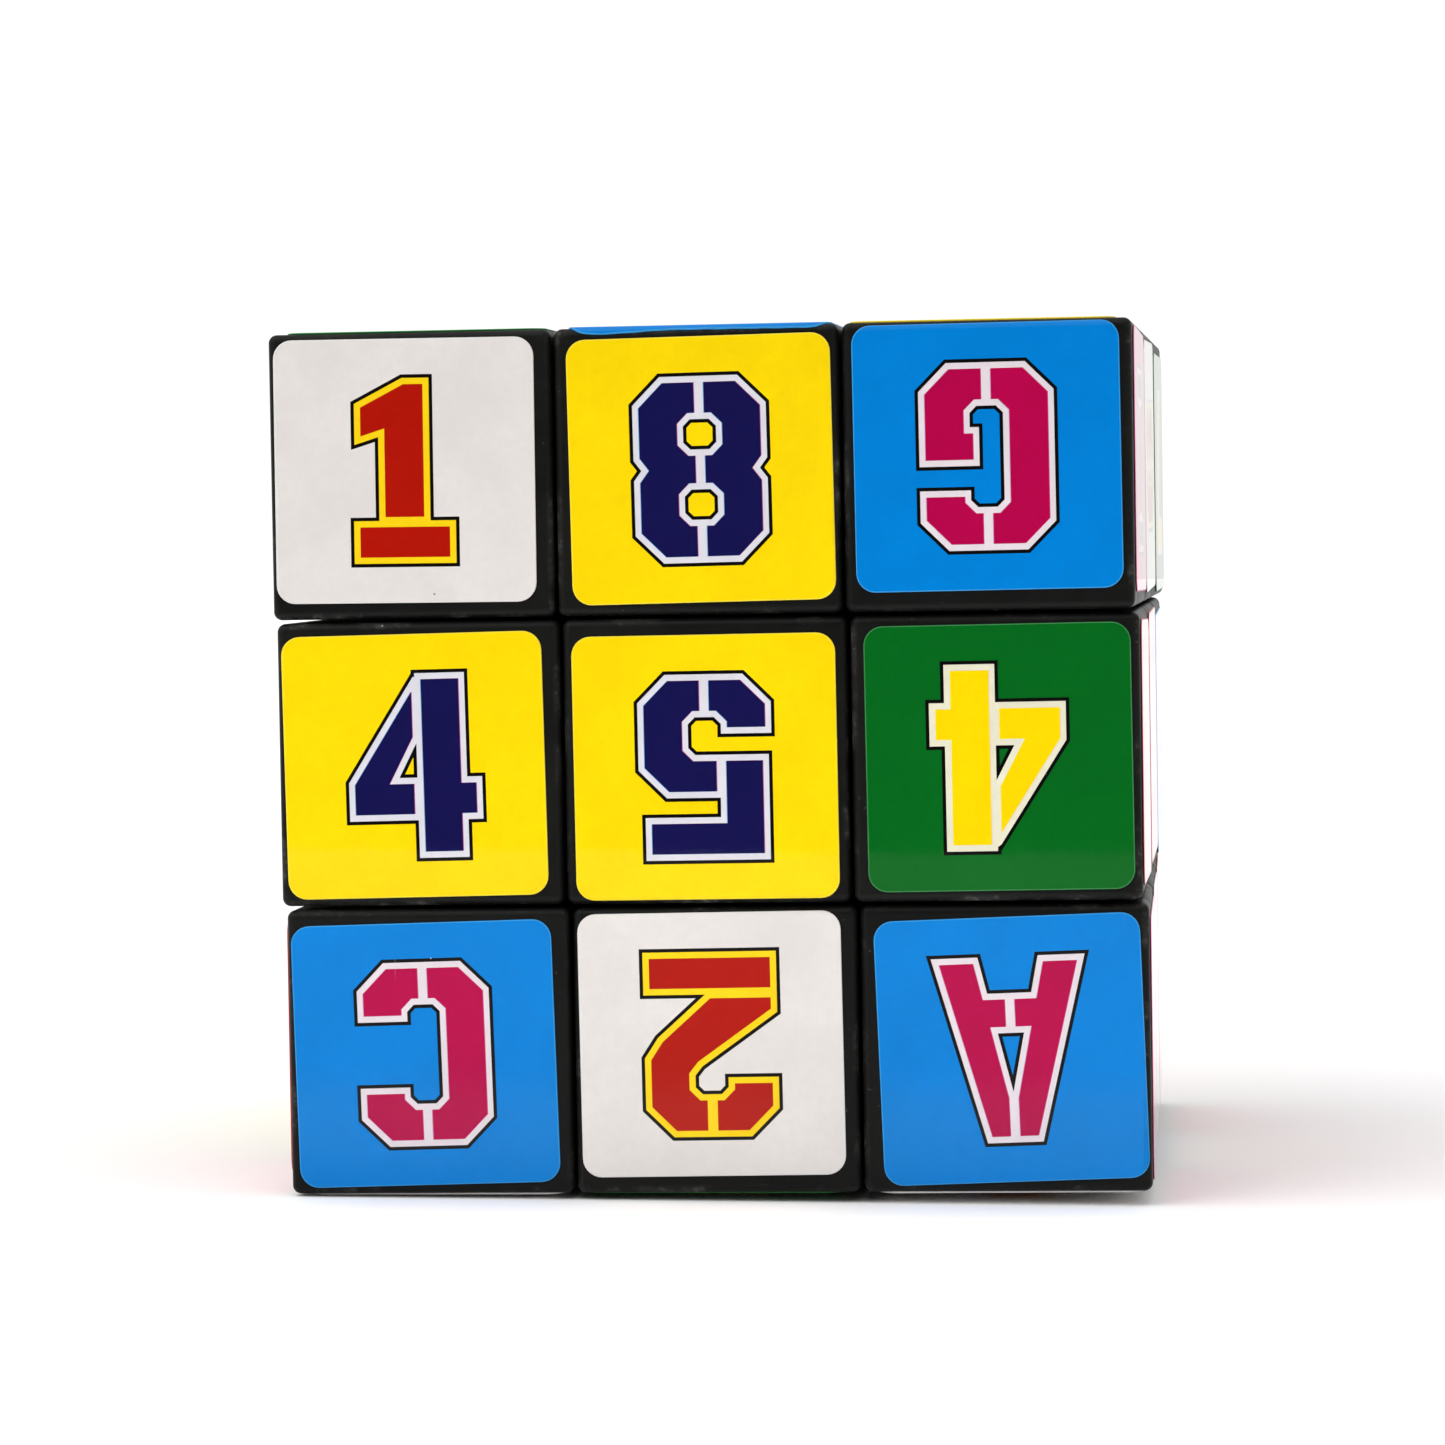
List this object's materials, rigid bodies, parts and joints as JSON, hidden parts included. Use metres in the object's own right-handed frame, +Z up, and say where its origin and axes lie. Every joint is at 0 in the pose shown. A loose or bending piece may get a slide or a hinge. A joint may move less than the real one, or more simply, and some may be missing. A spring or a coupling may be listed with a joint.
{
  "type": "twisty puzzle cube",
  "caption": "Three-layer twisty puzzle cube in black plastic: hollow cubies on a spring-loaded core turn in layers, with coloured film stickers that carry digits and letters.",
  "frame": {"origin": "centre of the core, where the three turning axes cross; also the centre of the cube", "axes": "+Z up through the top centre piece, -Y out of the front face, +X out of the right face"},
  "size_m": [0.058, 0.058, 0.0574],
  "materials": {
    "shell_plastic": "satin moulded black plastic with fine scuffs",
    "cap_plastic": "satin moulded black plastic with fine scuffs",
    "base_plastic": "satin moulded black plastic",
    "foot_plastic": "satin moulded black plastic, polished by rubbing",
    "core_plastic": "satin off-white moulded plastic",
    "screw_steel": "bright plated steel",
    "washer_steel": "plain steel",
    "spring_steel": "drawn spring wire",
    "film_white": "glossy printed vinyl film",
    "film_yellow": "glossy printed vinyl film",
    "film_blue": "glossy printed vinyl film",
    "film_green": "glossy printed vinyl film",
    "film_red": "glossy printed vinyl film",
    "film_pink": "glossy printed vinyl film",
    "film_mixed": "glossy printed vinyl films in six colours"
  },
  "bodies": {
    "core": {"core_spider": "core_plastic", "centre_screws": "screw_steel", "screw_washers": "washer_steel", "middle_edge_feet": "foot_plastic", "middle_layer_stickers": "film_mixed", "middle_edge_back_left": "shell_plastic", "middle_edge_back_right": "shell_plastic", "middle_edge_front_left": "shell_plastic", "middle_edge_front_right": "shell_plastic"},
    "top_layer": {"top_corner_back_left": "shell_plastic", "top_corner_back_right": "shell_plastic", "top_corner_feet": "foot_plastic", "top_corner_front_left": "shell_plastic", "top_corner_front_right": "shell_plastic", "top_edge_back": "shell_plastic", "top_edge_feet": "foot_plastic", "top_edge_front": "shell_plastic", "top_edge_left": "shell_plastic", "top_edge_right": "shell_plastic", "top_layer_side_stickers": "film_mixed", "top_face_stickers": "film_mixed"},
    "bottom_layer": {"bottom_corner_back_left": "shell_plastic", "bottom_corner_back_right": "shell_plastic", "bottom_corner_feet": "foot_plastic", "bottom_corner_front_left": "shell_plastic", "bottom_corner_front_right": "shell_plastic", "bottom_edge_back": "shell_plastic", "bottom_edge_feet": "foot_plastic", "bottom_edge_front": "shell_plastic", "bottom_edge_left": "shell_plastic", "bottom_edge_right": "shell_plastic", "bottom_layer_side_stickers": "film_mixed", "bottom_face_stickers": "film_mixed"},
    "top_centre": {"top_centre_base": "base_plastic", "top_centre_cap": "cap_plastic", "top_centre_sticker": "film_blue", "top_centre_spring": "spring_steel"},
    "bottom_centre": {"bottom_centre_base": "base_plastic", "bottom_centre_cap": "cap_plastic", "bottom_centre_sticker": "film_green", "bottom_centre_spring": "spring_steel"},
    "front_centre": {"front_centre_base": "base_plastic", "front_centre_cap": "cap_plastic", "front_centre_sticker": "film_yellow", "front_centre_spring": "spring_steel"},
    "back_centre": {"back_centre_base": "base_plastic", "back_centre_cap": "cap_plastic", "back_centre_sticker": "film_white", "back_centre_spring": "spring_steel"},
    "right_centre": {"right_centre_base": "base_plastic", "right_centre_cap": "cap_plastic", "right_centre_sticker": "film_red", "right_centre_spring": "spring_steel"},
    "left_centre": {"left_centre_base": "base_plastic", "left_centre_cap": "cap_plastic", "left_centre_sticker": "film_pink", "left_centre_spring": "spring_steel"}
  },
  "joints": [
    {"name": "top_layer_turn", "type": "hinge", "parent": "core", "child": "top_layer", "pos_m": [0, 0, 0], "axis": [0, 0, 1], "continuous": true},
    {"name": "bottom_layer_turn", "type": "hinge", "parent": "core", "child": "bottom_layer", "pos_m": [0, 0, 0], "axis": [0, 0, 1], "continuous": true},
    {"name": "top_centre_float", "type": "slide", "parent": "top_layer", "child": "top_centre", "axis": [0, 0, 1], "range_m": [0, 0.0006], "stiffness_N_per_m": 800, "springref_m": -0.003, "deforming": ["top_centre_spring"]},
    {"name": "bottom_centre_float", "type": "slide", "parent": "bottom_layer", "child": "bottom_centre", "axis": [0, 0, -1], "range_m": [0, 0.0006], "stiffness_N_per_m": 800, "springref_m": -0.003, "deforming": ["bottom_centre_spring"]},
    {"name": "front_centre_float", "type": "slide", "parent": "core", "child": "front_centre", "axis": [0, -1, 0], "range_m": [0, 0.0006], "stiffness_N_per_m": 800, "springref_m": -0.003, "deforming": ["front_centre_spring"]},
    {"name": "back_centre_float", "type": "slide", "parent": "core", "child": "back_centre", "axis": [0, 1, 0], "range_m": [0, 0.0006], "stiffness_N_per_m": 800, "springref_m": -0.003, "deforming": ["back_centre_spring"]},
    {"name": "right_centre_float", "type": "slide", "parent": "core", "child": "right_centre", "axis": [1, 0, 0], "range_m": [0, 0.0006], "stiffness_N_per_m": 800, "springref_m": -0.003, "deforming": ["right_centre_spring"]},
    {"name": "left_centre_float", "type": "slide", "parent": "core", "child": "left_centre", "axis": [-1, 0, 0], "range_m": [0, 0.0006], "stiffness_N_per_m": 800, "springref_m": -0.003, "deforming": ["left_centre_spring"]}
  ]
}
